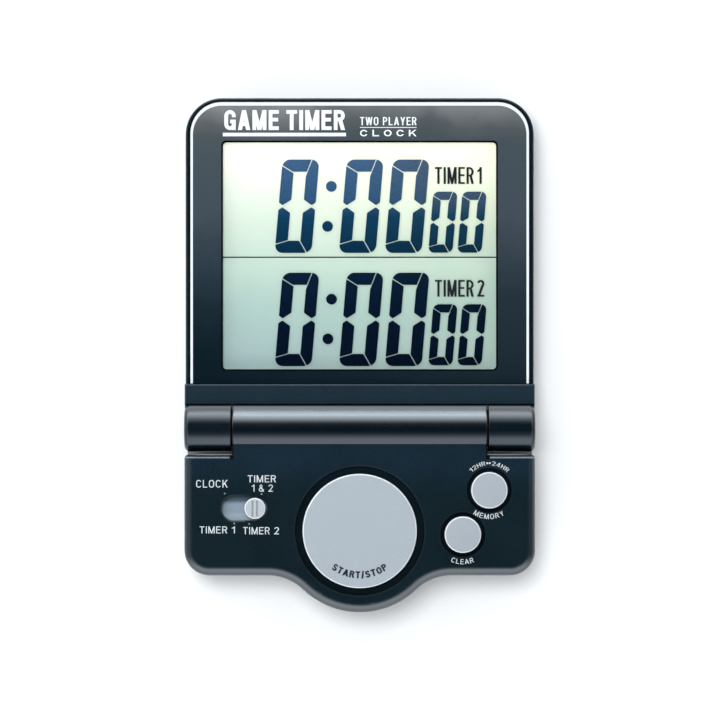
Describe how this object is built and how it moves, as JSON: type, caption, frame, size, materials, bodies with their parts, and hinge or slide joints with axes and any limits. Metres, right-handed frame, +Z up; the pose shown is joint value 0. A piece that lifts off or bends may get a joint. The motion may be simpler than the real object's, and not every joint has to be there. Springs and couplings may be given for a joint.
{
  "type": "game clock",
  "caption": "Folding game clock with a hinged two-line liquid-crystal display, a large round start/stop button, small round buttons and a slide switch on a flat base.",
  "frame": {"origin": "centre of the bounding box's bottom face, on the plane of the rubber feet, with the clock lying open and flat", "axes": "+X to the user's right, +Y from the user towards the top of the display, +Z up out of the button face and the display"},
  "size_m": [0.095, 0.1395, 0.0168],
  "materials": {
    "base_shell_plastic": "fine moulded texture",
    "cover_plastic": "moulded, fine texture",
    "head_plastic": "satin moulded",
    "button_grey": "satin light grey",
    "lens_clear": "polished acrylic with a printed border",
    "lcd_panel": "reflective liquid-crystal cell",
    "reflector_foil": "diffuse foil",
    "board_green": "solder mask",
    "ic_black": "epoxy",
    "foot_rubber": "soft",
    "dome_rubber": "silicone",
    "carbon_pill": "conductive",
    "zebra_rubber": "elastomeric",
    "steel": "plated",
    "contact_nickel": "nickel plated",
    "cell_steel": "nickel-plated can",
    "buzzer_brass": "thin disc",
    "holder_plastic": "natural",
    "switch_plastic": "moulded",
    "cable_jacket": "flexible",
    "ceramic_cap": "sintered"
  },
  "bodies": {
    "base": {"base_top_shell": "base_shell_plastic", "base_bottom_cover": "cover_plastic", "coin_cell": "cell_steel", "battery_holder": "holder_plastic", "battery_positive_clip": "contact_nickel", "battery_negative_spring": "contact_nickel", "base_feet": "foot_rubber", "base_case_screws": "steel", "button_board": "board_green", "button_board_screws": "steel", "start_stop_dome": "dome_rubber", "memory_dome": "dome_rubber", "clear_dome": "dome_rubber", "mode_switch_body": "switch_plastic", "hinge_washers": "steel", "hinge_cable_base": "cable_jacket"},
    "display": {"display_front_frame": "head_plastic", "display_lens": "lens_clear", "lcd_upper": "lcd_panel", "lcd_lower": "lcd_panel", "lcd_reflectors": "reflector_foil", "zebra_strips": "zebra_rubber", "lcd_holder_frame": "holder_plastic", "main_board": "board_green", "main_board_screws": "steel", "controller_chip_blob": "ic_black", "timing_crystal": "steel", "board_capacitors": "ceramic_cap", "buzzer_disc": "buzzer_brass", "buzzer_wires": "cable_jacket", "display_rear_cover": "cover_plastic", "display_case_screws": "steel", "display_feet": "foot_rubber", "hinge_pin": "steel", "hinge_bush": "steel", "hinge_cable_head": "cable_jacket"},
    "start_stop": {"start_stop_button": "button_grey", "start_stop_pill": "carbon_pill"},
    "memory": {"memory_button": "button_grey", "memory_pill": "carbon_pill"},
    "clear": {"clear_button": "button_grey", "clear_pill": "carbon_pill"},
    "mode_slider": {"mode_knob": "button_grey", "mode_switch_slider": "holder_plastic"},
    "battery_door": {"battery_door": "cover_plastic"}
  },
  "joints": [
    {"name": "display_fold", "type": "hinge", "parent": "base", "child": "display", "pos_m": [0, -0.02, 0.0105], "axis": [1, 0, 0], "range_deg": [0, 120]},
    {"name": "start_stop_press", "type": "slide", "parent": "base", "child": "start_stop", "axis": [0, 0, -1], "range_m": [0, 0.0012], "stiffness_N_per_m": 300, "springref_m": -0.0005, "deforming": ["start_stop_dome"]},
    {"name": "memory_press", "type": "slide", "parent": "base", "child": "memory", "axis": [0, 0, -1], "range_m": [0, 0.001], "stiffness_N_per_m": 300, "springref_m": -0.0005, "deforming": ["memory_dome"]},
    {"name": "clear_press", "type": "slide", "parent": "base", "child": "clear", "axis": [0, 0, -1], "range_m": [0, 0.001], "stiffness_N_per_m": 300, "springref_m": -0.0005, "deforming": ["clear_dome"]},
    {"name": "mode_slide", "type": "slide", "parent": "base", "child": "mode_slider", "axis": [-1, 0, 0], "range_m": [0, 0.006]},
    {"name": "battery_door_turn", "type": "hinge", "parent": "base", "child": "battery_door", "pos_m": [0, -0.044, 0.0015], "axis": [0, 0, -1], "range_deg": [0, 60]}
  ]
}
